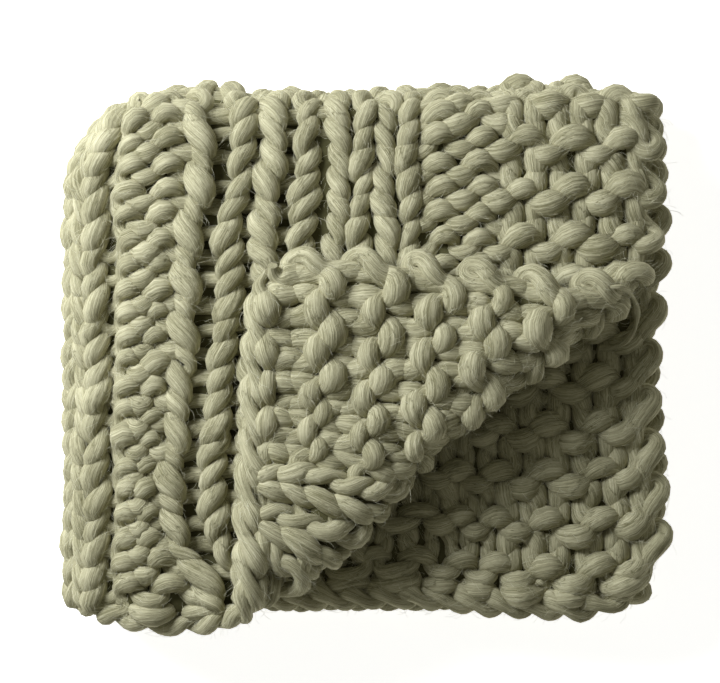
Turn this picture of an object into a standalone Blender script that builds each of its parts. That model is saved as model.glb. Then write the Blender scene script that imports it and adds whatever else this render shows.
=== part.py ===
# Chunky knitted throw, folded back to front, then side to side, its top front corner turned back.
# One piece of thick knitting, so one solid. Metres, +Z up, front towards -Y, origin under its middle.
import math

import bpy
import numpy as np

# The knitting
CLOTH = 0.027            # thickness of one layer
LAYER_GAP = 0.008        # air between two layers, which the ribs half fill
PITCH = CLOTH + LAYER_GAP
ROWS_PER_SIDE = 20       # rows of stitches from the front edge to the back fold
ROWS_IN_FOLD = 3         # rows that go round the back fold
RIDGE = 0.0045           # how far ribs and ridges swell and sink about the layer's middle

# The folded bundle
TOP_RIGHT = 0.259        # right edge of the top layer
FOLD_CENTRE_X = -0.2125  # axis of the left fold
FOLD_CENTRE_Y = 0.2115   # axis of the back fold
BACK_BULGE = 1.05        # roundness of the back fold, 1 is a half circle
MIDDLE_Z = 1.5 * PITCH + CLOTH / 2
MIDDLE = (-0.00219, 0.00797)  # middle of the finished footprint, moved to the origin at the end
TOP_RUN = TOP_RIGHT - FOLD_CENTRE_X
OUTER_TURN = 1.5 * PITCH

# The turned-back corner: a crease across the top layer, given by a point on it and the way it faces
CREASE_POINT = (0.1957, 0.0096)
CREASE_FACING = (0.632, -0.775)
ROLL_RADIUS = 0.022
FLAP_LIFT = CLOTH + 0.010
SETTLE_LENGTH = 0.070    # the roll sinks to the flap's height over this length
CORNER_PULL = (-0.050, -0.044)
PULL_START = (-0.058, 0.052)
PULL_SPAN = (0.318, 0.288)
BULGE = 0.029            # the roll swells outwards near its lower end
BULGE_BEGINS = (0.17, 0.28)
BULGE_ENDS = (0.315, 0.385)
BULGE_DEPTH = 0.090

# The back left corner, where both folds meet, is drawn in and rounded
BACK_CORNER = (-0.170, 0.150)
BACK_CORNER_SPAN = (0.105, 0.090)
BACK_CORNER_PULL = (0.024, -0.018)

# Stitch columns along the rows: from the top right edge, round the left fold, to the lower right edge.
# Garter has a ridge every second row, plain is the flat bumpy side, rope has two cords in each column.
COLUMNS = [
    # kind, columns, width of one, mesh lines in one
    ("garter", 3, 0.0440, 2),
    ("plain", 2, 0.0355, 2),
    ("rope", 1, 0.0430, 4),
    ("rope", 1, 0.0450, 4),
    ("rope", 1, 0.0640, 4),
    ("rope", 1, 0.0630, 4),
    ("plain", 2, 0.0350, 2),
    ("rope", 4, 0.0330, 4),
    ("plain", 2, 0.0350, 1),
    ("rope", 4, 0.0545, 1),
    ("plain", 2, 0.0355, 1),
    ("garter", 3, 0.0440, 1),
]

# Where each layer's front edge lies, left to right
FRONT_EDGES = {
    # layer: (x, y) pairs
    "outer": [(-0.26, -0.222), (-0.228, -0.236), (-0.190, -0.244), (-0.128, -0.232), (-0.055, -0.234),
              (0.26, -0.232)],
    "inner": [(-0.25, -0.215), (-0.03, -0.218), (0.036, -0.215), (0.127, -0.224), (0.200, -0.228),
              (0.262, -0.208)],
}

# How far the lower pair of layers stands out past the upper one at the back
LOWER_BACK = [
    # x, out
    (-0.28, 0.004), (-0.20, 0.008), (-0.14, 0.020), (-0.09, 0.010), (0.00, 0.009), (0.07, 0.015),
    (0.11, 0.010), (0.16, 0.019), (0.20, 0.017), (0.26, 0.006),
]

# How far the long cords left of the flap wander sideways
WANDER = [
    # y, shift
    (0.220, 0.000), (0.158, 0.000), (0.120, -0.009), (0.003, -0.015), (-0.079, -0.022),
    (-0.115, -0.028), (-0.174, -0.020), (-0.206, 0.004), (-0.240, 0.013),
]
WANDER_X = (-0.229, -0.150, -0.100, 0.020)


def ease(t):
    t = np.clip(t, 0.0, 1.0)
    return t * t * (3 - 2 * t)


def row_lines():
    """Row numbers of the mesh lines, from the outer layer's front edge to the inner layer's."""
    fold_end = ROWS_PER_SIDE + ROWS_IN_FOLD
    outer = np.arange(ROWS_PER_SIDE + 1)
    fold = np.linspace(ROWS_PER_SIDE, fold_end, 6)[1:]
    hidden = fold_end + np.arange(2, ROWS_PER_SIDE // 2 + 1, 2)
    shown = fold_end + np.arange(ROWS_PER_SIDE // 2 + 1, ROWS_PER_SIDE + 1)
    return np.concatenate([outer, fold, hidden, shown]).astype(float)


def column_lines():
    """Each mesh line's distance from the right edge, its kind, and its swell from -1 to 1."""
    at, kind, swell = [0.0], ["garter"], [0.0]
    for name, count, width, lines in COLUMNS:
        for _ in range(count):
            for line in range(1, lines + 1):
                at.append(at[-1] + width / lines)
                kind.append(name)
                swell.append((1.0 if line % 2 else -1.0) if name == "rope" and lines == 4 else 0.0)
    return np.array(at), np.array(kind), np.array(swell)


def bundle(u, row):
    """The folded sheet with its corner still flat: points, and the way its outer face looks."""
    angle = np.clip((u - TOP_RUN) / OUTER_TURN, 0.0, math.pi)
    past = np.maximum(u - TOP_RUN - math.pi * OUTER_TURN, 0.0)
    x = TOP_RIGHT - np.minimum(u, TOP_RUN) - PITCH * np.sin(angle) + past
    z = MIDDLE_Z + PITCH * np.cos(angle)
    out_x, out_z = -np.sin(angle), np.cos(angle)

    turn = math.pi * np.clip((row - ROWS_PER_SIDE) / ROWS_IN_FOLD, 0.0, 1.0)
    inner = (1 - np.cos(turn)) / 2
    front_outer = np.interp(x, *np.transpose(FRONT_EDGES["outer"]))
    front_inner = np.interp(x, *np.transpose(FRONT_EDGES["inner"]))
    front = front_outer + (front_inner - front_outer) * inner
    along = np.minimum(row, 2 * ROWS_PER_SIDE + ROWS_IN_FOLD - row) / ROWS_PER_SIDE
    y = front + (FOLD_CENTRE_Y - front) * np.minimum(along, 1.0)
    y = y + BACK_BULGE * PITCH / 2 * np.sin(turn)
    lower = np.interp(x, *np.transpose(LOWER_BACK))
    y = y + lower * (1 - np.cos(angle)) / 2 * np.minimum(along, 1.0)
    reach = PITCH / 2 * np.cos(turn)
    x, z = x + reach * out_x, z + reach * out_z

    rounded = ease((BACK_CORNER[0] - x) / BACK_CORNER_SPAN[0])
    rounded = rounded * ease((y - BACK_CORNER[1]) / BACK_CORNER_SPAN[1])
    x, y = x + BACK_CORNER_PULL[0] * rounded, y + BACK_CORNER_PULL[1] * rounded

    # The edges wander, each layer in its own way, and the inner layer stands out past the outer one.
    edge = ease((np.abs(x) - 0.15) / 0.11) * (x > 0)
    x = x + edge * (0.010 * inner + 0.005 * np.sin(23 * y + 2.1 * inner + 40 * z))
    shift = np.interp(-y, *np.transpose([(-at, by) for at, by in WANDER]))
    fades_in = ease((x - WANDER_X[0]) / (WANDER_X[1] - WANDER_X[0]))
    fades_out = ease((WANDER_X[3] - x) / (WANDER_X[3] - WANDER_X[2]))
    x = x + shift * fades_in * fades_out * (row < ROWS_PER_SIDE) * (angle < 0.1)
    return x, y, z, out_x * np.cos(turn), np.sin(turn), out_z * np.cos(turn)


def past_crease(x, y):
    """How far a point lies past the line where the roll starts to lift."""
    across = (x - CREASE_POINT[0]) * CREASE_FACING[0] + (y - CREASE_POINT[1]) * CREASE_FACING[1]
    return across + math.pi / 2 * ROLL_RADIUS


def turn_corner(x, y, z, normal):
    """Turns the part of the top layer past the crease up and back over the rest."""
    pull_x = np.clip((x - PULL_START[0]) / PULL_SPAN[0], 0, 1)
    pull = pull_x * np.clip((PULL_START[1] - y) / PULL_SPAN[1], 0, 1)
    x, y = x + CORNER_PULL[0] * pull, y + CORNER_PULL[1] * pull
    n_x, n_y = CREASE_FACING
    past = past_crease(x, y)
    folded = past > 0
    angle = np.clip(past / ROLL_RADIUS, 0, math.pi)
    back = np.maximum(past - math.pi * ROLL_RADIUS, 0)
    move = np.where(folded, ROLL_RADIUS * np.sin(angle) - back - past, 0)
    settle = (2 * ROLL_RADIUS - FLAP_LIFT) * ease(back / SETTLE_LENGTH)
    lift = np.where(folded, ROLL_RADIUS * (1 - np.cos(angle)) - settle, 0)
    turned = np.array([-np.sin(angle) * n_x, -np.sin(angle) * n_y, np.cos(angle)])
    x, y = x + move * n_x, y + move * n_y
    from_x, from_y = x - CREASE_POINT[0], y - CREASE_POINT[1]
    down = from_x * n_y - from_y * n_x
    across = from_x * n_x + from_y * n_y
    bulge = BULGE * ease((down - BULGE_BEGINS[0]) / (BULGE_BEGINS[1] - BULGE_BEGINS[0]))
    bulge = bulge * (1 - 0.75 * ease((down - BULGE_ENDS[0]) / (BULGE_ENDS[1] - BULGE_ENDS[0])))
    bulge = bulge * ease(1 + (across - ROLL_RADIUS) / BULGE_DEPTH) * ease(past / BULGE_DEPTH + 1)
    return x + bulge * n_x, y + bulge * n_y, z + lift, np.where(folded, turned, normal)


def throw():
    """One grid of the whole cloth, bent into its folds, then given its thickness."""
    rows = row_lines()
    at, kind, swell = column_lines()
    bpy.ops.mesh.primitive_grid_add(x_subdivisions=len(at) - 1, y_subdivisions=len(rows) - 1, size=1.0)
    cloth = bpy.context.object
    cloth.name = cloth.data.name = "knit_throw"

    flat = np.empty(len(cloth.data.vertices) * 3)
    cloth.data.vertices.foreach_get("co", flat)
    flat = flat.reshape(-1, 3)
    column = np.rint((flat[:, 0] + 0.5) * (len(at) - 1)).astype(int)
    line = np.rint((flat[:, 1] + 0.5) * (len(rows) - 1)).astype(int)
    u, row = at[column], rows[line]

    x, y, z, *normal = bundle(u, row)
    normal = np.array(normal)
    outer = row < ROWS_PER_SIDE + ROWS_IN_FOLD / 2
    top_run = u < TOP_RUN
    corner = outer & top_run
    turned = turn_corner(x, y, z, normal)
    x, y, z = (np.where(corner, new, old) for new, old in zip(turned[:3], (x, y, z)))
    normal = np.where(corner, turned[3], normal)

    # Cords and garter ridges swell both faces, where they show.
    ridges = np.where(line % 2 == 1, 1.0, -1.0)
    relief = np.where(kind[column] == "garter", ridges, swell[column])
    in_fold = (row > ROWS_PER_SIDE) & ~(row >= ROWS_PER_SIDE + ROWS_IN_FOLD)
    relief = np.where(in_fold, 0.4 * relief * (kind[column] == "rope"), relief)
    bared = ease(past_crease(x, y) / CLOTH) * top_run
    relief = np.where(outer, relief, -ridges * bared)
    relief = np.where(u > TOP_RUN, 0.8 * relief, relief)
    relief = np.where(u > TOP_RUN + 0.6 * math.pi * OUTER_TURN, 0.0, relief)
    x, y, z = np.array([x, y, z]) + RIDGE * relief * normal

    # The heap is a little higher and lower from place to place, and its base stays flat.
    height = np.clip((z - CLOTH) / (3 * PITCH), 0.0, 1.3)
    z = z + height * (0.003 * np.sin(11 * x + 1.0) * np.cos(9 * y) + 0.002 * np.sin(21 * y + 8 * x))
    x, y = x - MIDDLE[0], y - MIDDLE[1]
    cloth.data.vertices.foreach_set("co", np.stack([x, y, z], axis=1).ravel())
    cloth.data.update()

    # Triangles whose long sides run along the crease bend round its roll smoothly.
    crease = cloth.modifiers.new("crease", "TRIANGULATE")
    crease.quad_method = "FIXED_ALTERNATE"
    thick = cloth.modifiers.new("cloth thickness", "SOLIDIFY")
    thick.thickness = CLOTH
    thick.offset = 0.0
    cloth.data.shade_smooth()
    return cloth


def wool():
    """Sage green merino roving, matt."""
    material = bpy.data.materials.new("sage wool")
    material.use_nodes = True
    surface = material.node_tree.nodes["Principled BSDF"]
    surface.inputs["Base Color"].default_value = (0.36, 0.36, 0.21, 1.0)
    surface.inputs["Roughness"].default_value = 0.9
    surface.inputs["Metallic"].default_value = 0.0
    return material


def main():
    for old in list(bpy.data.objects):
        bpy.data.objects.remove(old)
    blanket = bpy.data.collections.new("knit blanket")
    bpy.context.scene.collection.children.link(blanket)
    cloth = throw()
    cloth.data.materials.append(wool())
    for holder in list(cloth.users_collection):
        holder.objects.unlink(cloth)
    blanket.objects.link(cloth)


main()
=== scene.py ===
import math

import bpy
import numpy as np
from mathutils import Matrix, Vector


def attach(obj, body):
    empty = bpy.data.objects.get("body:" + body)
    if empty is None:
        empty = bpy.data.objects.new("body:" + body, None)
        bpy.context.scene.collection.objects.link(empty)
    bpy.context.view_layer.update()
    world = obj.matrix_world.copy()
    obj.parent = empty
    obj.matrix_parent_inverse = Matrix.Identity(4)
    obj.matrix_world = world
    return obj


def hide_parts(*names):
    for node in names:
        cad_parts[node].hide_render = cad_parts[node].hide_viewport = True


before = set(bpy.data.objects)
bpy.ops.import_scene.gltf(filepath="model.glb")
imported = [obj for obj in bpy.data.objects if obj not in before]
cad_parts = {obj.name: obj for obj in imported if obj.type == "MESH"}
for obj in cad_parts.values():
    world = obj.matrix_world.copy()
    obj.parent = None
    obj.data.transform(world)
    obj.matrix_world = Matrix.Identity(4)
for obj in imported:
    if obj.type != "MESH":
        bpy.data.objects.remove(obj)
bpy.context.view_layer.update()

# CAMERA
# Straight above the bundle, as the blanket was photographed, and so far up that the height of
# its layers hardly shows.
CAMERA_HEIGHT = 2.20
TOP_HEIGHT = 0.125
PICTURE_WIDTH = 0.6552      # what the picture spans at the height of the bundle's top
SENSOR_WIDTH = 36
CAMERA_X, CAMERA_Y = 0.0022, 0.0028

camera = bpy.data.objects.new("camera", bpy.data.cameras.new("camera"))
camera.data.sensor_width = SENSOR_WIDTH
camera.data.lens = SENSOR_WIDTH * (CAMERA_HEIGHT - TOP_HEIGHT) / PICTURE_WIDTH
camera.location = (CAMERA_X, CAMERA_Y, CAMERA_HEIGHT)
bpy.context.scene.collection.objects.link(camera)
bpy.context.scene.camera = camera


# THE FOLDED CLOTH
# The throw is one flat piece of thick hand knitting. It is folded back to front, then side to
# side, so four layers lie on each other, and the top layer's front corner is turned back. Its
# rows run side to side and its stitch columns front to back.
LAYER_PITCH = 0.035         # from the middle of one layer to the middle of the next
CLOTH = 0.027               # thickness of one layer
ROWS_PER_SIDE = 20
ROWS_IN_FOLD = 3            # taken up by the back fold
ROWS_TO_FOLD_END = ROWS_PER_SIDE + ROWS_IN_FOLD
ROWS = 2 * ROWS_PER_SIDE + ROWS_IN_FOLD
FOLD_ROW = ROWS_PER_SIDE + ROWS_IN_FOLD / 2
TOP_RIGHT = 0.259           # where the top layer ends on the right
FOLD_CENTRE_X = -0.2125     # where the layers start to turn at the left
FOLD_CENTRE_Y = 0.2115      # and at the back
BACK_BULGE = 1.05           # how far the back fold stands out, in half layer pitches
MIDDLE = (-0.00219, 0.00797)    # of the bundle's footprint, which is moved to the origin
MIDDLE_Z = 1.5 * LAYER_PITCH + CLOTH / 2
TOP_RUN = TOP_RIGHT - FOLD_CENTRE_X     # along the rows, from the right edge to the left fold
OUTER_TURN = 1.5 * LAYER_PITCH          # radius of the left fold's outer layer
TURN_END = TOP_RUN + math.pi * OUTER_TURN

CREASE_POINT = (0.1957, 0.0096)     # the crease of the turned corner passes here
CREASE_FACING = (0.632, -0.775)     # and the corner lay on this side of it
ROLL_RADIUS = 0.022
FLAP_LIFT = CLOTH + 0.010           # of the turned corner's middle above the top layer's
SETTLE_LENGTH = 0.070               # it comes down from the roll to there over this length
CORNER_PULL = (-0.050, -0.044)      # the knitting is pulled askew towards the corner
PULL_START = (-0.058, 0.052)
PULL_SPAN = (0.318, 0.288)
BULGE = 0.029                       # the roll swells near its lower end
BULGE_BEGINS, BULGE_ENDS = (0.17, 0.28), (0.315, 0.385)
BULGE_LOSES = 0.75
BULGE_DEPTH = 0.090

BACK_CORNER = (-0.170, 0.150)       # the back left corner is rounded
BACK_CORNER_SPAN = (0.105, 0.090)
BACK_CORNER_PULL = (0.024, -0.018)

FRONT_OUTER = [
    # x, y of the outer layers' front edge
    (-0.26, -0.222), (-0.228, -0.236), (-0.190, -0.244), (-0.128, -0.232), (-0.055, -0.234),
    (0.26, -0.232),
]
FRONT_INNER = [
    # x, y of the inner layers' front edge
    (-0.25, -0.215), (-0.03, -0.218), (0.036, -0.215), (0.127, -0.224), (0.200, -0.228),
    (0.262, -0.208),
]
LOWER_BACK = [
    # x, how far the lower pair of layers stands out past the upper one at the back
    (-0.28, 0.004), (-0.20, 0.008), (-0.14, 0.020), (-0.09, 0.010), (0.00, 0.009), (0.07, 0.015),
    (0.11, 0.010), (0.16, 0.019), (0.20, 0.017), (0.26, 0.006),
]
WANDER = [
    # y, sideways shift of the long cords left of the turned corner
    (-0.240, 0.013), (-0.206, 0.004), (-0.174, -0.020), (-0.115, -0.028), (-0.079, -0.022),
    (0.003, -0.015), (0.120, -0.009), (0.158, 0.000), (0.220, 0.000),
]
WANDER_X = (-0.229, -0.150, -0.100, 0.020)      # it fades in over the first two, out over the others
RIGHT_EDGE = (0.150, 0.260)         # past here the layers' right edges don't lie in line
EDGE_STEP, EDGE_WAVE = 0.010, 0.005


def ease(t):
    t = np.clip(t, 0.0, 1.0)
    return t * t * (3 - 2 * t)


def turn_corner(x, y, z, normal):
    """Turns the part of the top layer past the crease up and back over the rest."""
    pull_x = np.clip((x - PULL_START[0]) / PULL_SPAN[0], 0, 1)
    pull = pull_x * np.clip((PULL_START[1] - y) / PULL_SPAN[1], 0, 1)
    x, y = x + CORNER_PULL[0] * pull, y + CORNER_PULL[1] * pull
    n_x, n_y = CREASE_FACING
    past = (x - CREASE_POINT[0]) * n_x + (y - CREASE_POINT[1]) * n_y + math.pi / 2 * ROLL_RADIUS
    angle = np.clip(past / ROLL_RADIUS, 0, math.pi)
    back = np.maximum(past - math.pi * ROLL_RADIUS, 0)
    move = np.where(past > 0, ROLL_RADIUS * np.sin(angle) - back - past, 0)
    settle = (2 * ROLL_RADIUS - FLAP_LIFT) * ease(back / SETTLE_LENGTH)
    lift = np.where(past > 0, ROLL_RADIUS * (1 - np.cos(angle)) - settle, 0)
    turned = np.array([-np.sin(angle) * n_x, -np.sin(angle) * n_y, np.cos(angle)])
    x, y = x + move * n_x, y + move * n_y
    from_x, from_y = x - CREASE_POINT[0], y - CREASE_POINT[1]
    down = from_x * n_y - from_y * n_x
    across = from_x * n_x + from_y * n_y
    bulge = BULGE * ease((down - BULGE_BEGINS[0]) / (BULGE_BEGINS[1] - BULGE_BEGINS[0]))
    bulge = bulge * (1 - BULGE_LOSES * ease((down - BULGE_ENDS[0]) / (BULGE_ENDS[1] - BULGE_ENDS[0])))
    bulge = bulge * ease(1 + (across - ROLL_RADIUS) / BULGE_DEPTH) * ease(past / BULGE_DEPTH + 1)
    return x + bulge * n_x, y + bulge * n_y, z + lift, np.where(past > 0, turned, normal)


def lay(u, row, out=0.0):
    """Points of the folded cloth: u metres along a row from the top right edge, out from its middle."""
    u, row, out = np.broadcast_arrays(*(np.asarray(v, float) for v in (u, row, out)))
    angle = np.clip((u - TOP_RUN) / OUTER_TURN, 0.0, math.pi)
    x = TOP_RIGHT - np.minimum(u, TOP_RUN) - LAYER_PITCH * np.sin(angle) + np.maximum(u - TURN_END, 0.0)
    z = MIDDLE_Z + LAYER_PITCH * np.cos(angle)
    out_x, out_z = -np.sin(angle), np.cos(angle)

    turn = math.pi * np.clip((row - ROWS_PER_SIDE) / ROWS_IN_FOLD, 0.0, 1.0)
    inner = (1 - np.cos(turn)) / 2
    front_outer = np.interp(x, *np.transpose(FRONT_OUTER))
    front_inner = np.interp(x, *np.transpose(FRONT_INNER))
    front = front_outer + (front_inner - front_outer) * inner
    along = np.minimum(row, ROWS - row) / ROWS_PER_SIDE
    y = front + (FOLD_CENTRE_Y - front) * np.minimum(along, 1.0)
    y = y + BACK_BULGE * LAYER_PITCH / 2 * np.sin(turn)
    lower = np.interp(x, *np.transpose(LOWER_BACK))
    y = y + lower * (1 - np.cos(angle)) / 2 * np.clip(along, 0.0, 1.0)
    reach = LAYER_PITCH / 2 * np.cos(turn)
    x, z = x + reach * out_x, z + reach * out_z

    rounded = ease((BACK_CORNER[0] - x) / BACK_CORNER_SPAN[0])
    rounded = rounded * ease((y - BACK_CORNER[1]) / BACK_CORNER_SPAN[1])
    x, y = x + BACK_CORNER_PULL[0] * rounded, y + BACK_CORNER_PULL[1] * rounded
    edge = ease((x - RIGHT_EDGE[0]) / (RIGHT_EDGE[1] - RIGHT_EDGE[0]))
    x = x + edge * (EDGE_STEP * inner + EDGE_WAVE * np.sin(23 * y + 2.1 * inner + 40 * z))
    shift = np.interp(y, *np.transpose(WANDER))
    fades_in = ease((x - WANDER_X[0]) / (WANDER_X[1] - WANDER_X[0]))
    fades_out = ease((WANDER_X[3] - x) / (WANDER_X[3] - WANDER_X[2]))
    x = x + shift * fades_in * fades_out * (row < ROWS_PER_SIDE) * (angle < 0.1)

    normal = np.array([out_x * np.cos(turn), np.sin(turn), out_z * np.cos(turn)])
    corner = (row < FOLD_ROW) & (u < TOP_RUN)
    turned = turn_corner(x, y, z, normal)
    x, y, z = (np.where(corner, new, old) for new, old in zip(turned[:3], (x, y, z)))
    normal = np.where(corner, turned[3], normal)
    x, y, z = np.array([x, y, z]) + out * normal

    # The upper layers lie a few millimetres higher in some places than in others.
    height = np.clip((z - CLOTH) / (3 * LAYER_PITCH), 0.0, 1.3)
    z = z + height * (0.003 * np.sin(11 * x + 1.0) * np.cos(9 * y) + 0.002 * np.sin(21 * y + 8 * x))
    return np.stack([x - MIDDLE[0], y - MIDDLE[1], z], axis=-1)


# THE MERINO ROVING
# Unspun merino top, dyed sage green: loose combed fibres, so it is quite matt, with a soft sheen
# at the rim, fine streaks along the yarn, and a thin binder thread wound round it here and there.
WOOL_LIGHT = "#C6C2A1"
WOOL_DARK = "#787557"
TONE_RANGE = (0.69, 1.03)   # how much of the pattern turns dark wool to light
BINDER = "#6A6844"
BINDER_SHOWS = 0.55
BINDER_TURN_MM = 41.0       # along the yarn for each turn round it
BINDER_WIDTH_MM = 0.7
FIBRE_STREAK_MM = 0.60      # drawn about twenty times coarser than a fibre, so that it shows
STREAK_LENGTH_MM = 26.0
PATCHES_PER_METRE = 30.0    # the dye took a little unevenly
DOWN_MM = 1.6               # the soft down between the fibres
RELIEF = 0.0009
YARN_RADIUS = 0.0100


def linear(colour):
    """A #RRGGBB colour as linear red, green, blue and alpha."""
    parts = [int(colour[i:i + 2], 16) / 255 for i in (1, 3, 5)]
    return [c / 12.92 if c <= 0.04045 else ((c + 0.055) / 1.055) ** 2.4 for c in parts] + [1.0]


def node(tree, kind, inputs=None, **settings):
    """Adds a node, sets its properties, then sets its inputs or links them to sockets or nodes."""
    made = tree.nodes.new(kind)
    for name, value in settings.items():
        setattr(made, name, value)
    for key, value in (inputs or {}).items():
        if isinstance(value, bpy.types.Node):
            value = value.outputs[0]
        if isinstance(value, bpy.types.NodeSocket):
            tree.links.new(value, made.inputs[key])
        else:
            made.inputs[key].default_value = value
    return made


def empty_material(name):
    material = bpy.data.materials.new(name)
    material.use_nodes = True
    material.node_tree.nodes.clear()
    return material, material.node_tree


def merino():
    material, tree = empty_material("merino roving")

    # fibre holds the distance along the yarn, then the cosine and sine of the way round it.
    fibre = node(tree, "ShaderNodeAttribute", attribute_name="fibre").outputs["Vector"]
    round_scale = 1000 * YARN_RADIUS / FIBRE_STREAK_MM
    scales = (1000 / STREAK_LENGTH_MM, round_scale, round_scale)
    streak = node(tree, "ShaderNodeVectorMath", {0: fibre, 1: scales}, operation="MULTIPLY")
    streaks = node(tree, "ShaderNodeTexNoise", {
        "Vector": streak, "Scale": 1.0, "Detail": 4.0, "Roughness": 0.65, "Distortion": 0.4})
    locks = node(tree, "ShaderNodeTexNoise", {
        "Vector": streak, "Scale": 0.22, "Detail": 1.0, "Distortion": 0.8})
    place = node(tree, "ShaderNodeTexCoord").outputs["Object"]
    patches = node(tree, "ShaderNodeTexNoise", {"Vector": place, "Scale": PATCHES_PER_METRE, "Detail": 2.0})
    down = node(tree, "ShaderNodeTexNoise", {"Vector": place, "Scale": 1000 / DOWN_MM, "Detail": 2.0})

    # The binder's line is where a slow helix round the yarn passes zero.
    apart = node(tree, "ShaderNodeSeparateXYZ", {0: fibre}).outputs
    angle = node(tree, "ShaderNodeMath", {0: apart[2], 1: apart[1]}, operation="ARCTAN2")
    part_turn = node(tree, "ShaderNodeMath", {0: angle, 1: 2 * math.pi}, operation="DIVIDE")
    wound = node(tree, "ShaderNodeMath", {0: apart[0], 1: 1000 / BINDER_TURN_MM, 2: part_turn},
                 operation="MULTIPLY_ADD")
    bent = node(tree, "ShaderNodeMath", {0: locks, 1: 0.55, 2: wound}, operation="MULTIPLY_ADD")
    off_line = node(tree, "ShaderNodeMath", {0: bent, 1: 0.5}, operation="PINGPONG")
    wide = BINDER_WIDTH_MM / (2 * math.pi * 1000 * YARN_RADIUS)
    thread = node(tree, "ShaderNodeMapRange", {
        "Value": off_line, "From Min": 0.6 * wide, "From Max": 1.4 * wide, "To Min": 1.0, "To Max": 0.0})

    # Streaks, whole locks and patches of dye each have their share in the colour.
    mixed = node(tree, "ShaderNodeMath", {0: locks, 1: 0.4, 2: streaks}, operation="MULTIPLY_ADD")
    mixed = node(tree, "ShaderNodeMath", {0: patches, 1: 0.3, 2: mixed}, operation="MULTIPLY_ADD")
    tone = node(tree, "ShaderNodeMapRange", {
        "Value": mixed, "From Min": TONE_RANGE[0], "From Max": TONE_RANGE[1]})
    wool = node(tree, "ShaderNodeMix", {0: tone, 6: linear(WOOL_DARK), 7: linear(WOOL_LIGHT)},
                data_type="RGBA").outputs[2]
    faint = node(tree, "ShaderNodeMath", {0: thread, 1: BINDER_SHOWS}, operation="MULTIPLY")
    bound = node(tree, "ShaderNodeMix", {0: faint, 6: wool, 7: linear(BINDER)}, data_type="RGBA").outputs[2]

    # The fibres stand up in fine ridges, and the binder thread lies in a groove.
    relief = node(tree, "ShaderNodeMath", {0: locks, 1: 0.9, 2: streaks}, operation="MULTIPLY_ADD")
    relief = node(tree, "ShaderNodeMath", {0: thread, 1: -0.8, 2: relief}, operation="MULTIPLY_ADD")
    relief = node(tree, "ShaderNodeMath", {0: down, 1: 0.6, 2: relief}, operation="MULTIPLY_ADD")
    bump = node(tree, "ShaderNodeBump", {"Height": relief, "Strength": 0.8, "Distance": RELIEF})
    surface = node(tree, "ShaderNodeBsdfPrincipled", {
        "Base Color": bound, "Roughness": 0.92, "Normal": bump, "Specular IOR Level": 0.06,
        "Sheen Weight": 0.3, "Sheen Roughness": 0.5, "Sheen Tint": linear(WOOL_LIGHT)})
    node(tree, "ShaderNodeOutputMaterial", {"Surface": surface})
    return material


roving = merino()


# THE GROUND OF THE CLOTH
# The felted middle of the knitting, where the yarn crosses itself behind the stitches. It lies
# in the cloth's folds, and the stitches that are raised on both its faces ride on it. Its colour
# is painted shade: it is kept dark so that the gaps between the stitches read as deep shade.
SHADED_FELT_DARK, SHADED_FELT_LIGHT = "#4A4830", "#605E40"        # the same dyed wool, darkened as painted shade under the stitches
FELT_GRAINS_PER_METRE = 400.0
GROUND_THICKNESS = 0.003
GROUND_COLUMNS, GROUND_LINES = 120, 84
FULL_WIDTH = 1.1089         # of the throw, along its rows
SIDE_INSET, END_INSET = 0.004, 0.3      # in metres and in rows
SHORT_BY = 1.6              # rows fewer at the front, where it would show past the turned corner
SHORT_BETWEEN = (0.20, 0.37)
GROUND_SINKS = 0.010        # behind the long ropes, where it would close the ladder between them
SINKS_BETWEEN = [(0.30, 0.43, 0.020), (0.474, 0.502, 0.012)]


def part_of_throw(piece):
    """The piece moves with the folded bundle, and stands with the others for its plain solid."""
    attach(piece, "root")
    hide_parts("knit_throw")


def shaded_felt():
    material, tree = empty_material("felted merino in painted shade")
    place = node(tree, "ShaderNodeTexCoord").outputs["Object"]
    grain = node(tree, "ShaderNodeTexNoise", {
        "Vector": place, "Scale": FELT_GRAINS_PER_METRE, "Detail": 3.0})
    # Both colours are painted shade of the gaps; the grain only varies them at random.
    colour = node(tree, "ShaderNodeMix", {0: grain, 6: linear(SHADED_FELT_DARK), 7: linear(SHADED_FELT_LIGHT)},
                  data_type="RGBA").outputs[2]
    surface = node(tree, "ShaderNodeBsdfPrincipled", {
        "Base Color": colour, "Roughness": 0.95, "Specular IOR Level": 0.1})
    node(tree, "ShaderNodeOutputMaterial", {"Surface": surface})
    return material


def between(u, start, end, soft):
    """0 outside start to end, and 1 between them past a soft length at each."""
    return ease((u - start) / soft) * ease((end - u) / soft)


bpy.ops.mesh.primitive_grid_add(x_subdivisions=GROUND_COLUMNS, y_subdivisions=GROUND_LINES, size=1.0)
ground = bpy.context.object
ground.name = ground.data.name = "knitted_ground"
flat = np.empty(len(ground.data.vertices) * 3)
ground.data.vertices.foreach_get("co", flat)
flat = flat.reshape(-1, 3) + 0.5
ground_u = SIDE_INSET + flat[:, 0] * (FULL_WIDTH - 2 * SIDE_INSET)
short = SHORT_BY * between(ground_u, *SHORT_BETWEEN, 0.03)
ground_row = END_INSET + short + flat[:, 1] * (ROWS - 2 * END_INSET - short)
sinks = sum(between(ground_u, *where) for where in SINKS_BETWEEN)
sinks = sinks * ease((ROWS_TO_FOLD_END - ground_row) / 1.5)
ground.data.vertices.foreach_set("co", lay(ground_u, ground_row, -GROUND_SINKS * sinks).ravel())
ground.data.materials.append(shaded_felt())
ground.data.shade_smooth()
web = ground.modifiers.new("web thickness", "SOLIDIFY")
web.thickness = GROUND_THICKNESS
web.offset = 0.0
part_of_throw(ground)


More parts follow.
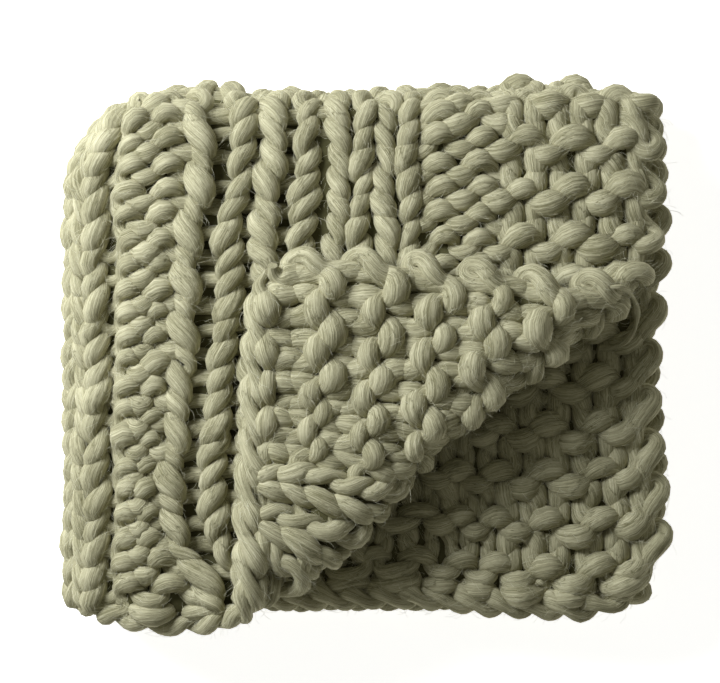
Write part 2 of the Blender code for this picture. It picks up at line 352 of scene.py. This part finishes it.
# THE STITCHES
# One thick yarn knitted back and forth in rows, each loop drawn through the one below. Knit
# columns show two cords of slanting legs, purl columns show rows of bumps, and in the garter
# borders every second row is purled, which makes ridges on both faces.
COLUMNS = [
    # kind, columns, width of one, yarn thickness, how far the legs lean, how far they stand apart,
    # and how much fatter every second left leg is
    ("garter", 3, 0.0440, 1.20, 0.17, 0.00, 0.00),
    ("purl", 2, 0.0355, 1.00, 0.20, 0.00, 0.00),
    ("knit", 1, 0.0430, 0.93, 0.25, 0.00, 0.00),
    ("knit", 1, 0.0450, 0.91, 0.25, 0.00, 0.00),
    ("knit", 1, 0.0640, 0.98, 0.24, 0.00, 0.08),
    ("knit", 1, 0.0630, 1.00, 0.24, 0.07, 0.17),
    ("purl", 2, 0.0340, 1.02, 0.20, 0.00, 0.00),
    ("cord", 1, 0.0400, 0.95, 0.22, 0.00, 0.00),
    ("cord", 3, 0.0310, 0.88, 0.28, 0.00, 0.00),
    ("purl", 2, 0.0350, 0.92, 0.20, 0.00, 0.00),
    ("knit", 4, 0.0545, 1.00, 0.24, 0.00, 0.00),
    ("purl", 2, 0.0355, 0.92, 0.20, 0.00, 0.00),
    ("garter", 3, 0.0440, 1.20, 0.17, 0.00, 0.00),
]
BORDER_ROWS = 12            # rows of garter at each end of the throw
BORDER_OUTER = 0.200        # how far along the rows they reach in the outer layer
BORDER_INNER = 0.345        # and in the inner one
PURLED_ROWS = 9             # next to the turned corner's border the first rows are purled instead
PURLED_REACH = 0.290
SLANTED = ("knit", "cord")  # kinds whose legs slant, crossing over each other
LOOP_HEIGHT = {"garter": 0.91, "purl": 0.84, "knit": 0.97, "cord": 1.02}    # half of it, in rows
LOOP_CLIMB = {"garter": 0.07, "purl": 0.09, "knit": 0.10, "cord": 0.10}     # how far bumps slant
SLIM_AND_PLUMP = {
    # the yarn's thickness where it passes under, and what is added where it shows
    "garter": (0.62, 0.50), "purl": (0.64, 0.46), "knit": (0.74, 0.36), "cord": (0.90, 0.16),
}
LOOP_DEPTH = 0.0088         # how far a loop swings in front of and behind the cloth's middle
CORD_DEPTH = 0.75           # the cords of the side fold swing less
FLATTER_AT_FOLD = 0.55      # and the loops are pulled flat round the back fold
LEG_EARLY = 0.32            # how much lower than its middle a leg comes forward, in radians
SWINGS_OVER = 1.2           # radians of a loop in which it swings over from its neighbour's face
SLIM_BEHIND = 0.26          # how much thinner a slanted loop's two ends are, behind the legs
FATTER_IS_TALLER = 1.4
FLAT_LEGS, FLAT_ENDS = 0.35, 0.9    # a loop's swing where its row shows the other face
INSIDE_ENDS = 0.15          # rows that the yarn stays inside the throw's two ends
ROPE_RISE = 0.4             # how far the first cord's nearer legs stand out past the others
GROOVE_WIDTH = 0.006        # between that cord and the purl panel beside it
GROOVE_DEPTH = 1.3          # in loop depths
GROOVE_SLIM = 0.25          # how much thinner the yarn is where it passes through the groove
GROOVE_REACH = 1.1          # radians of a loop on either side of it
PURL_PULLED_IN = 0.0035     # and how far the purl panel ends short of it
UNEVEN_SIZE, UNEVEN_ASIDE, UNEVEN_UP, UNEVEN_OUT = 0.12, 0.0021, 0.08, 0.0008
STEPS_SHOWN, STEPS_BELOW, STEPS_INSIDE = 24, 10, 6      # points in one loop
SHOWN_FROM_ROW, SHOWN_TO = 30, 0.36     # the inner layer shows here, under the turned corner
SELVEDGE_OUT = 0.013
SELVEDGE_POINTS = 9         # the yarn is slack this far in from each edge
SELVEDGE_TILT = 0.010
TAIL_POINTS = 7             # the yarn's two ends thin out and are worked in
TAIL_THIN = 0.3
SMOOTHED, SMOOTHED_AT_EDGES = 2, 12     # how often its bends are eased

each_column = [group for group in COLUMNS for _ in range(group[1])]
kinds, _, widths, thicknesses, leans, spreads, uneven = zip(*each_column)
starts = np.cumsum([0.0, *widths[:-1]])
grooved = kinds.index("cord")
handmade = np.random.default_rng(12).normal(0.0, 1.0, (4, ROWS, 4 * len(kinds) + 1)).clip(-1.8, 1.8)


def facing(row, column):
    """1 where the row's loop in this column is a knit stitch seen from outside, -1 for a purl."""
    if kinds[column] == "knit" and row < PURLED_ROWS and starts[column] < PURLED_REACH:
        return -1.0
    reach = BORDER_OUTER if row < ROWS / 2 else BORDER_INNER
    border = min(row, ROWS - 1 - row) < BORDER_ROWS and starts[column] < reach
    if kinds[column] == "garter" or border:
        return -1.0 if row % 2 else 1.0
    return 1.0 if kinds[column] in SLANTED else -1.0


def drift(seed, u, row, scale):
    """Smooth seeded wandering from -1 to 1 over the cloth."""
    random = np.random.default_rng(seed)
    total = 0.0
    for _ in range(4):
        across, along = random.uniform(0.4, 1.0), random.uniform(0.4, 1.0)
        phase = random.uniform(0, 2 * math.pi)
        waves = across * u / (0.045 * scale) + along * row / (2 * scale)
        total = total + np.sin(2 * math.pi * waves + phase)
    return total / 4


def steps_in(row, column):
    """Points in one loop: most where it shows, fewest where other layers hide it."""
    end_rows = row < 2 or row >= ROWS - 2 or ROWS_PER_SIDE <= row < ROWS_TO_FOLD_END
    end_columns = column < 2 or column >= len(kinds) - 2
    outer = row < ROWS_TO_FOLD_END
    if end_rows or end_columns or (outer and starts[column] < TURN_END):
        return STEPS_SHOWN
    if outer:
        return STEPS_BELOW
    return STEPS_SHOWN if row >= SHOWN_FROM_ROW and starts[column] < SHOWN_TO else STEPS_INSIDE


def knit_loop(row, column):
    """One loop of the yarn, t going once round it: arrays of u, row, depth and radius."""
    steps = steps_in(row, column)
    t = np.arange(steps) / steps * 2 * math.pi
    to_end = 2 * math.pi - t
    kind, start, width = kinds[column], starts[column], widths[column]
    here, above = facing(row, column), facing(min(row + 1, ROWS - 1), column)
    left, right = facing(row, max(column - 1, 0)), facing(row, min(column + 1, len(kinds) - 1))

    # It swings to the face that shows it: as its neighbours do below, as the next row does above.
    base = np.where(t < math.pi, (left + here) / 2 + (here - left) / 2 * ease(t / SWINGS_OVER),
                    (here + right) / 2 - (right - here) / 2 * ease(to_end / SWINGS_OVER))
    rise = ease((1 - np.cos(t)) / 2)
    side = base * (1 - rise) + above * rise
    early = LEG_EARLY if kind in SLANTED else 0.0
    depth = side * -np.cos(2 * (t + early * np.sin(t)))
    u = start + width * (t / (2 * math.pi) + leans[column] * np.sin(2 * t) - spreads[column] * np.sin(t))

    # Each leg and each bump is a plump lock of wool, thin where it passes under another.
    arc = np.cos(t) ** 2
    slim, plump = SLIM_AND_PLUMP[kind]
    left_leg = np.maximum(-np.sin(t), 0)
    fat = uneven[column] * (1 if row % 2 else -1)
    behind = 1 - SLIM_BEHIND * arc * (kind in SLANTED)
    radius = thicknesses[column] * (slim + plump * np.cos(2 * t) ** 2) * behind * (1 + fat * left_leg)

    shown_side = -1 if row < ROWS / 2 else 1
    climb = shown_side * LOOP_CLIMB[kind] * (side * shown_side + 1) / 2
    height = LOOP_HEIGHT[kind] * (1 + FATTER_IS_TALLER * fat * left_leg)
    y = row + 0.5 - height * np.cos(t) + climb * np.sin(2 * t) * arc
    y = np.clip(y, INSIDE_ENDS, ROWS - INSIDE_ENDS)

    if column == grooved:
        u = start + GROOVE_WIDTH * ease(t) + (u - start) * (1 - GROOVE_WIDTH / width)
        depth = depth * (1 + ROPE_RISE * (t < math.pi)) - GROOVE_DEPTH * (1 - ease(t / GROOVE_REACH))
        radius = radius * (1 - GROOVE_SLIM * (1 - ease(t / GROOVE_REACH)))
    if column == grooved - 1:
        u = start + (u - start) * (1 - PURL_PULLED_IN / width)
        depth = depth - GROOVE_DEPTH * (1 - ease(to_end / GROOVE_REACH))
        radius = radius * (1 - GROOVE_SLIM * (1 - ease(to_end / GROOVE_REACH)))
    if kind == "cord":
        depth = CORD_DEPTH * depth
    if here != above or (here == left == right and kind == "garter"):
        depth = (FLAT_LEGS + FLAT_ENDS * arc) * depth
    if ROWS_PER_SIDE <= row < ROWS_TO_FOLD_END:
        depth = FLATTER_AT_FOLD * depth

    lock = 4 * (column + t / (2 * math.pi))
    locks = np.arange(handmade.shape[2])
    size, aside, up, out = (np.interp(lock, locks, values[row]) for values in handmade)
    return np.stack([u + UNEVEN_ASIDE * aside, y + UNEVEN_UP * up, depth * LOOP_DEPTH + UNEVEN_OUT * out,
                     radius * (1 + UNEVEN_SIZE * size) * YARN_RADIUS])


def knit_row(row):
    """The yarn's way through one row, with slow drifts of its thickness, place and depth."""
    loops = [knit_loop(row, column) for column in range(len(kinds))]
    u, y, depth, radius = np.concatenate(loops, axis=1)
    return np.stack([
        u + 0.0032 * drift(1, u, row, 2.6) + 0.0012 * drift(2, u, row, 0.8),
        y + 0.16 * drift(3, u, y, 2.8) + 0.06 * drift(4, u, y, 0.9),
        depth * (1 + 0.12 * drift(7, u, row, 1.1)),
        radius * (1 + 0.10 * drift(5, u, row, 1.3)),
    ])


def selvedge_turn(row, side):
    """The yarn turns at the edge and starts the next row."""
    t = np.linspace(0, math.pi, 9)[1:-1]
    edge = 0.0 if side < 0 else FULL_WIDTH
    u = edge + side * SELVEDGE_OUT * np.sin(t)
    y = row + 0.5 - LOOP_HEIGHT["garter"] + (1 - np.cos(t)) / 2
    return np.stack([u, y, SELVEDGE_TILT * np.cos(t), np.full(len(t), 0.80 * YARN_RADIUS)])


def whole_yarn():
    """The yarn from cast-on to bind-off: its points, its radii, and where each row starts."""
    parts, slack, row_starts, count = [], [], [], 0
    for row in range(ROWS):
        row_starts.append(count)
        part = knit_row(row)
        parts.append(part if row % 2 == 0 else part[:, ::-1])
        from_end = np.minimum(np.arange(part.shape[1]), np.arange(part.shape[1])[::-1])
        slack.append(ease(1.5 - from_end / SELVEDGE_POINTS))
        if row < ROWS - 1:
            parts.append(selvedge_turn(row, 1 if row % 2 == 0 else -1))
            slack.append(np.ones(parts[-1].shape[1]))
        count = sum(len(piece) for piece in slack)
    path, slack = np.concatenate(parts, axis=1), np.concatenate(slack)[1:-1]
    for smoothing in range(SMOOTHED_AT_EDGES):
        bend = (path[:, :-2] + path[:, 2:]) / 2 - path[:, 1:-1]
        path[:, 1:-1] += bend / 2 * (1.0 if smoothing < SMOOTHED else slack)
    u, y, depth, radius = path
    radius[:TAIL_POINTS] *= np.linspace(TAIL_THIN, 1.0, TAIL_POINTS)
    radius[-TAIL_POINTS:] *= np.linspace(1.0, TAIL_THIN, TAIL_POINTS)
    return lay(u, y, depth), radius, row_starts + [count - 1]


def new_tree(name, inputs):
    """A Geometry Nodes tree with these named inputs, and the sockets that give them."""
    tree = bpy.data.node_groups.new(name, "GeometryNodeTree")
    for key, kind in inputs.items():
        tree.interface.new_socket(key, in_out="INPUT", socket_type="NodeSocket" + kind)
    tree.interface.new_socket("Geometry", in_out="OUTPUT", socket_type="NodeSocketGeometry")
    return tree, node(tree, "NodeGroupInput").outputs


def end_tree(tree, given, mesh):
    """What would reach through the surface that the bundle lies on is pressed flat."""
    here = node(tree, "ShaderNodeSeparateXYZ", {0: node(tree, "GeometryNodeInputPosition")}).outputs
    above = node(tree, "ShaderNodeMath", {0: here[2], 1: given["Floor"]}, operation="MAXIMUM")
    pressed = node(tree, "ShaderNodeCombineXYZ", {0: here[0], 1: here[1], 2: above})
    mesh = node(tree, "GeometryNodeSetPosition", {"Geometry": mesh, "Position": pressed})
    mesh = node(tree, "GeometryNodeRealizeInstances", {"Geometry": mesh})
    mesh = node(tree, "GeometryNodeSetMaterial", {"Geometry": mesh, "Material": given["Material"]})
    node(tree, "NodeGroupOutput", {0: mesh})
    return tree


def yarn_tree():
    """Wraps a round, slightly lumpy yarn about a line that carries a radius."""
    tree, given = new_tree("roving along a path", {
        "Geometry": "Geometry", "Sides": "Int", "Twist": "Float", "Lumps": "Float", "Floor": "Float",
        "Material": "Material"})
    line = node(tree, "GeometryNodeMeshToCurve", {"Mesh": given["Geometry"]})
    radius = node(tree, "GeometryNodeInputNamedAttribute", {"Name": "thickness"}, data_type="FLOAT")
    line = node(tree, "GeometryNodeSetCurveRadius", {"Curve": line, "Radius": radius})
    length = node(tree, "GeometryNodeSplineParameter").outputs["Length"]
    line = node(tree, "GeometryNodeStoreNamedAttribute", {
        "Geometry": line, "Name": "along", "Value": length}, data_type="FLOAT", domain="POINT")
    line = node(tree, "GeometryNodeStoreNamedAttribute", {
        "Geometry": line, "Name": "run", "Value": node(tree, "GeometryNodeInputTangent")},
        data_type="FLOAT_VECTOR", domain="POINT")
    ring = node(tree, "GeometryNodeCurvePrimitiveCircle", {"Resolution": given["Sides"], "Radius": 1.0})
    ring = node(tree, "GeometryNodeStoreNamedAttribute", {
        "Geometry": ring, "Name": "round", "Value": node(tree, "GeometryNodeInputPosition")},
        data_type="FLOAT_VECTOR", domain="POINT")
    tube = node(tree, "GeometryNodeCurveToMesh", {"Curve": line, "Profile Curve": ring, "Fill Caps": True})
    if "Scale" in tube.inputs:
        tree.links.new(node(tree, "GeometryNodeInputRadius").outputs[0], tube.inputs["Scale"])

    # The fibres wind slowly round the yarn.
    along = node(tree, "GeometryNodeInputNamedAttribute", {"Name": "along"}, data_type="FLOAT")
    around = node(tree, "GeometryNodeInputNamedAttribute", {"Name": "round"}, data_type="FLOAT_VECTOR")
    turn = node(tree, "ShaderNodeMath", {0: along, 1: given["Twist"]}, operation="MULTIPLY")
    twisted = node(tree, "ShaderNodeVectorRotate", {"Vector": around, "Angle": turn}, rotation_type="Z_AXIS")
    apart = node(tree, "ShaderNodeSeparateXYZ", {0: twisted}).outputs
    fibre = node(tree, "ShaderNodeCombineXYZ", {0: along, 1: apart[0], 2: apart[1]})
    mesh = node(tree, "GeometryNodeStoreNamedAttribute", {
        "Geometry": tube, "Name": "fibre", "Value": fibre}, data_type="FLOAT_VECTOR", domain="POINT")

    # The wool bunches here and there, more round it than along it.
    scaled = node(tree, "ShaderNodeVectorMath", {0: fibre, 1: (55.0, 0.9, 0.9)}, operation="MULTIPLY")
    lump = node(tree, "ShaderNodeTexNoise", {"Vector": scaled, "Scale": 1.0, "Detail": 1.5})
    centred = node(tree, "ShaderNodeMath", {0: lump, 1: 0.5}, operation="SUBTRACT")
    grown = node(tree, "ShaderNodeMath", {0: centred, 1: given["Lumps"]}, operation="MULTIPLY")
    push = node(tree, "ShaderNodeVectorMath", {0: node(tree, "GeometryNodeInputNormal"), "Scale": grown},
                operation="SCALE")
    mesh = node(tree, "GeometryNodeSetPosition", {"Geometry": mesh, "Offset": push})
    return end_tree(tree, given, mesh)


def grow(name, source_mesh, tree, material, **values):
    """Runs a node tree on a mesh and keeps the result as a plain mesh piece."""
    holder = bpy.data.objects.new(name + "_path", source_mesh)
    bpy.context.scene.collection.objects.link(holder)
    maker = holder.modifiers.new("grow", "NODES")
    maker.node_group = tree
    sockets = {item.name: item.identifier for item in tree.interface.items_tree if item.in_out == "INPUT"}
    for key, value in values.items():
        maker[sockets[key]] = value
    maker[sockets["Material"]] = material
    graph = bpy.context.evaluated_depsgraph_get()
    made = bpy.data.meshes.new_from_object(
        holder.evaluated_get(graph), preserve_all_data_layers=True, depsgraph=graph)
    bpy.data.objects.remove(holder)
    made.name = name
    made.materials.clear()
    made.materials.append(material)
    made.shade_smooth()
    piece = bpy.data.objects.new(name, made)
    bpy.context.scene.collection.objects.link(piece)
    part_of_throw(piece)
    return piece


def wind(name, lines, lumps):
    """Roving along open lines: pairs of points and the radius at each point."""
    edges, first = [], 0
    for points, _ in lines:
        index = np.arange(first, first + len(points))
        edges.append(np.stack([index[:-1], index[1:]], axis=1))
        first += len(points)
    mesh = bpy.data.meshes.new(name)
    every_point = np.concatenate([points for points, _ in lines])
    mesh.from_pydata(every_point.tolist(), np.concatenate(edges).tolist(), [])
    thick = mesh.attributes.new("thickness", "FLOAT", "POINT")
    thick.data.foreach_set("value", np.concatenate([radii for _, radii in lines]).astype(np.float32))
    return grow(name, mesh, wrap_yarn, roving,
                Sides=YARN_SIDES, Twist=YARN_TWIST, Lumps=lumps, Floor=RESTS_AT)


YARN_SIDES = 12
YARN_TWIST = 24.0           # radians for each metre of yarn
YARN_LUMPS = 0.0022
RESTS_AT = 0.0008
ROW_GROUPS = [
    # piece, first row, row after the last
    ("stitches_front", 0, 8),
    ("stitches_middle", 8, 16),
    ("stitches_back", 16, 24),
    ("stitches_under", 24, 34),
    ("stitches_under_front", 34, ROWS),
]
RUNS_ON = (0.92, 0.78, 0.5)     # each group's yarn thins out inside the next group's
wrap_yarn = yarn_tree()
yarn_points, yarn_radii, row_starts = whole_yarn()
stitches = []
for name, first, last in ROW_GROUPS:
    runs_on = len(RUNS_ON) if last < ROWS else 0
    part = slice(row_starts[first], row_starts[last] + 1 + runs_on)
    radii = yarn_radii[part].copy()
    if runs_on:
        radii[-runs_on:] *= RUNS_ON
    stitches.append(wind(name, [(yarn_points[part], radii)], YARN_LUMPS))


# THE CAST-ON AND BIND-OFF EDGES
# Both ends of the knitting finish in a chain, which looks like a thick cord of two strands laid
# round each other along the edge.
LONG_LINK, SHORT_LINK = 0.090, 0.054    # loose along the turned corner, tight along the front
LINK_CHANGES = (0.33, 0.39)
PAST_EDGE = 0.34                        # rows that the chain's middle lies past the last loops
FRONT_UNDER, FRONT_IN = 0.007, 0.27     # along the front it lies under them and further in
CHAIN_RADIUS = 0.0088
CHAIN_SPREAD = 0.0062
CHAIN_POINTS = 330
ROW_HEIGHT = 0.0225
CHAIN_INSET = 0.006
TUCK_LENGTH = 0.020                     # its ends thin out and bend in under the cloth
TUCK_IN, TUCK_UNDER, TUCK_THIN = 0.5, 0.006, 0.6


def edge_cord(row, side, first_link):
    """The two strands of an edge's chain, side being 1 where the cloth is at higher rows."""
    u = np.linspace(CHAIN_INSET, FULL_WIDTH - CHAIN_INSET, CHAIN_POINTS)
    links = np.interp(u, LINK_CHANGES, (first_link, SHORT_LINK))
    turns = np.concatenate([[0.0], np.cumsum(np.diff(u) / links[1:])])
    under = ease((u - LINK_CHANGES[0]) / 0.05)
    spread = CHAIN_SPREAD * (1 - 0.3 * under)
    tuck = 1 - ease((np.minimum(u, FULL_WIDTH - u) - CHAIN_INSET) / TUCK_LENGTH)
    inwards = row + side * (FRONT_IN * under + TUCK_IN * tuck) + 0.06 * drift(31, u, 0 * u, 1.5)
    lines = []
    for strand in (0.0, math.pi):
        turn = 2 * math.pi * turns + strand
        y = inwards + side * spread * np.cos(turn) / ROW_HEIGHT
        depth = spread * np.sin(turn) - FRONT_UNDER * under + TUCK_UNDER * tuck
        plump = (0.72 + 0.42 * np.cos(turn + 0.6) ** 2) * (1 + 0.16 * drift(33, u, 0 * u + strand, 1.0))
        radius = CHAIN_RADIUS * (1 - 0.14 * under) * (1 - TUCK_THIN * tuck) * plump
        lines.append((lay(u, y, depth), radius))
    return lines


cast_on = wind("cast_on_edge", edge_cord(-PAST_EDGE, 1, LONG_LINK), YARN_LUMPS)
bind_off = wind("bind_off_edge", edge_cord(ROWS + PAST_EDGE, -1, SHORT_LINK), YARN_LUMPS)


# THE LOOSE STRAND
# At the turned corner's right end a thin strand has come out of the yarn. It curls over the
# corner's tip and down to the layer below.
STRAND_RADIUS = 0.0026
STRAND_POINTS = 60
STRAND_MIDDLE = (0.2290, 0.0240)
STRAND_REACH = (0.0265, 0.0275)     # half the curl's width and length
STRAND_HEIGHTS = [
    # degrees round the curl from the right, height
    (-100, 0.092), (-80, 0.101), (-45, 0.104), (0, 0.114), (30, 0.130), (55, 0.155), (75, 0.174),
    (92, 0.177), (110, 0.168),
]

degrees = np.linspace(STRAND_HEIGHTS[-1][0], STRAND_HEIGHTS[0][0], STRAND_POINTS)
heights = np.pad(np.interp(degrees, *np.transpose(STRAND_HEIGHTS)), 4, "edge")
strand_line = np.stack([
    STRAND_MIDDLE[0] + STRAND_REACH[0] * np.cos(np.radians(degrees)),
    STRAND_MIDDLE[1] + STRAND_REACH[1] * np.sin(np.radians(degrees)),
    np.convolve(heights, np.ones(9) / 9, "valid"),
], axis=1)
strand_radii = STRAND_RADIUS * (1 + 0.25 * np.sin(0.11 * degrees)) * np.linspace(0.8, 1.1, STRAND_POINTS)
loose_strand = wind("loose_strand", [(strand_line, strand_radii)], 0.2 * YARN_LUMPS)


# THE LOOSE FIBRES
# Unspun wool sheds a halo of single fibres, which stand off the yarn and curl over the gaps.
# They are drawn about ten times thicker than a real one, so that they show.
FIBRE_COLOUR = "#CFCDB0"
FIBRE_RADIUS = 0.00010
FIBRE_LENGTH = 0.012
FIBRE_LENGTHS = (0.35, 1.4)     # shortest and longest, as parts of it
FIBRE_CURL = 0.006
FIBRES_PER_SQUARE_METRE = 10800
OUTSIDE_SHARE, HIDDEN_SHARE = 0.35, 0.03
TOP_ABOVE = 0.085               # the upper layers begin here
NO_TOP = 1.0                    # for the hidden rows, none of which is an upper layer
SIDE_FROM, END_FROM = 0.245, 0.215


def fibre_tree():
    """Scatters curled fibres over a mesh, each a thin closed tube that starts inside the wool."""
    tree, given = new_tree("loose fibres", {
        "Geometry": "Geometry", "Density": "Float", "Length": "Float", "Thickness": "Float",
        "Curl": "Float", "Floor": "Float", "Upper": "Float", "Side": "Float", "End": "Float",
        "Seed": "Int", "Material": "Material"})

    # They grow where they can be seen: on upper faces of the upper layers, and round the outside.
    spot = node(tree, "ShaderNodeSeparateXYZ", {0: node(tree, "GeometryNodeInputPosition")}).outputs
    slope = node(tree, "ShaderNodeSeparateXYZ", {0: node(tree, "GeometryNodeInputNormal")}).outputs
    high = node(tree, "ShaderNodeMath", {0: spot[2], 1: given["Upper"]}, operation="GREATER_THAN")
    faces_up = node(tree, "ShaderNodeMath", {0: slope[2], 1: -0.1}, operation="GREATER_THAN")
    on_top = node(tree, "ShaderNodeMath", {0: high, 1: faces_up}, operation="MULTIPLY")
    from_middle = node(tree, "ShaderNodeVectorMath", {0: node(tree, "GeometryNodeInputPosition")},
                       operation="ABSOLUTE")
    away = node(tree, "ShaderNodeSeparateXYZ", {0: from_middle}).outputs
    past_side = node(tree, "ShaderNodeMath", {0: away[0], 1: given["Side"]}, operation="GREATER_THAN")
    past_end = node(tree, "ShaderNodeMath", {0: away[1], 1: given["End"]}, operation="GREATER_THAN")
    past = node(tree, "ShaderNodeMath", {0: past_side, 1: past_end}, operation="MAXIMUM")
    outside = node(tree, "ShaderNodeMath", {0: past, 1: OUTSIDE_SHARE}, operation="MULTIPLY")
    seen = node(tree, "ShaderNodeMath", {0: on_top, 1: outside}, operation="MAXIMUM")
    share = node(tree, "ShaderNodeMath", {0: seen, 1: HIDDEN_SHARE}, operation="MAXIMUM")
    density = node(tree, "ShaderNodeMath", {0: share, 1: given["Density"]}, operation="MULTIPLY")
    roots = node(tree, "GeometryNodeDistributePointsOnFaces", {
        "Mesh": given["Geometry"], "Density": density, "Seed": given["Seed"]})

    # Each lies more or less along the yarn and lifts off it.
    one = node(tree, "GeometryNodeCurveQuadraticBezier", {
        "Resolution": 3, "Start": (-0.05, 0, -0.08), "Middle": (0.45, 0, 0.32), "End": (1, 0.05, 0.10)})
    spin = node(tree, "FunctionNodeRandomValue", {
        0: (-0.3, -0.5, -0.8), 1: (0.3, 0.15, 0.8), "Seed": given["Seed"]}, data_type="FLOAT_VECTOR")
    run = node(tree, "GeometryNodeInputNamedAttribute", {"Name": "run"}, data_type="FLOAT_VECTOR")
    combed = node(tree, "FunctionNodeAxesToRotation", {0: roots.outputs["Normal"], 1: run},
                  primary_axis="Z", secondary_axis="X")
    stand = node(tree, "FunctionNodeRotateRotation", {
        "Rotation": combed, "Rotate By": node(tree, "FunctionNodeEulerToRotation", {0: spin})},
        rotation_space="LOCAL")
    vary = node(tree, "FunctionNodeRandomValue", {
        2: FIBRE_LENGTHS[0], 3: FIBRE_LENGTHS[1], "Seed": given["Seed"]}, data_type="FLOAT").outputs[1]
    long = node(tree, "ShaderNodeMath", {0: vary, 1: given["Length"]}, operation="MULTIPLY")
    hairs = node(tree, "GeometryNodeInstanceOnPoints", {
        "Points": roots, "Instance": one, "Rotation": stand, "Scale": long})
    hairs = node(tree, "GeometryNodeRealizeInstances", {"Geometry": hairs})

    # It curls more towards its tip.
    along = node(tree, "GeometryNodeSplineParameter").outputs["Factor"]
    swirl = node(tree, "ShaderNodeTexNoise", {"Scale": 90.0, "Detail": 0.0}).outputs["Color"]
    centred = node(tree, "ShaderNodeVectorMath", {0: swirl, 1: (0.5, 0.5, 0.5)}, operation="SUBTRACT")
    most = node(tree, "ShaderNodeMath", {0: along, 1: given["Curl"]}, operation="MULTIPLY")
    push = node(tree, "ShaderNodeVectorMath", {0: centred, "Scale": most}, operation="SCALE")
    hairs = node(tree, "GeometryNodeSetPosition", {"Geometry": hairs, "Offset": push})
    ring = node(tree, "GeometryNodeCurvePrimitiveCircle", {"Resolution": 3, "Radius": given["Thickness"]})
    mesh = node(tree, "GeometryNodeCurveToMesh", {"Curve": hairs, "Profile Curve": ring, "Fill Caps": True})
    return end_tree(tree, given, mesh)


fibre_material, fibre_nodes = empty_material("loose merino fibres")
fibre_surface = node(fibre_nodes, "ShaderNodeBsdfPrincipled", {
    "Base Color": linear(FIBRE_COLOUR), "Roughness": 0.7, "Specular IOR Level": 0.3, "Sheen Weight": 0.3})
node(fibre_nodes, "ShaderNodeOutputMaterial", {"Surface": fibre_surface})

scatter = fibre_tree()
yarns = [*stitches, cast_on, bind_off, loose_strand]
for number, piece in enumerate(yarns):
    upper = NO_TOP if piece.name == "stitches_under" else TOP_ABOVE
    grow(piece.name + "_fuzz", piece.data.copy(), scatter, fibre_material,
                     Density=float(FIBRES_PER_SQUARE_METRE), Length=FIBRE_LENGTH, Thickness=FIBRE_RADIUS,
                     Curl=FIBRE_CURL, Floor=RESTS_AT, Upper=upper, Side=SIDE_FROM, End=END_FROM,
                     Seed=number)


# FLOOR AND LIGHT
# The bundle lies on white paper, which glows a little so that it stays pure white round it. The
# light is a large soft window at the back left, with a pale sky all round.
PAPER = "#F4F4F3"
PAPER_GLOW = 0.83
WINDOW_SIZE, WINDOW_ENERGY = 0.85, 38.5
WINDOW_COLOUR = (0.915, 0.938, 1.0)
WINDOW_AT, WINDOW_FACING = (-0.98, 0.72, 0.98), (0.98, -0.72, -0.88)
SKY_COLOUR, SKY_STRENGTH = (1.0, 0.985, 0.87, 1.0), 0.18

floor_material, floor_nodes = empty_material("white paper")
floor_surface = node(floor_nodes, "ShaderNodeBsdfPrincipled", {
    "Base Color": linear(PAPER), "Roughness": 0.9, "Specular IOR Level": 0.1,
    "Emission Color": (1, 1, 1, 1), "Emission Strength": PAPER_GLOW})
node(floor_nodes, "ShaderNodeOutputMaterial", {"Surface": floor_surface})
bpy.ops.mesh.primitive_plane_add(size=12)
floor = bpy.context.object
floor.name = "floor"
floor.data.materials.append(floor_material)

window = bpy.data.objects.new("window", bpy.data.lights.new("window", "AREA"))
window.data.shape = "DISK"
window.data.size = WINDOW_SIZE
window.data.energy = WINDOW_ENERGY
window.data.color = WINDOW_COLOUR
window.location = WINDOW_AT
window.rotation_euler = Vector(WINDOW_FACING).to_track_quat("-Z", "Y").to_euler()
bpy.context.scene.collection.objects.link(window)
sky = bpy.data.worlds.new("pale room")
sky.use_nodes = True
sky.node_tree.nodes["Background"].inputs["Color"].default_value = SKY_COLOUR
sky.node_tree.nodes["Background"].inputs["Strength"].default_value = SKY_STRENGTH
bpy.context.scene.world = sky
bpy.context.scene.view_settings.view_transform = "Standard"
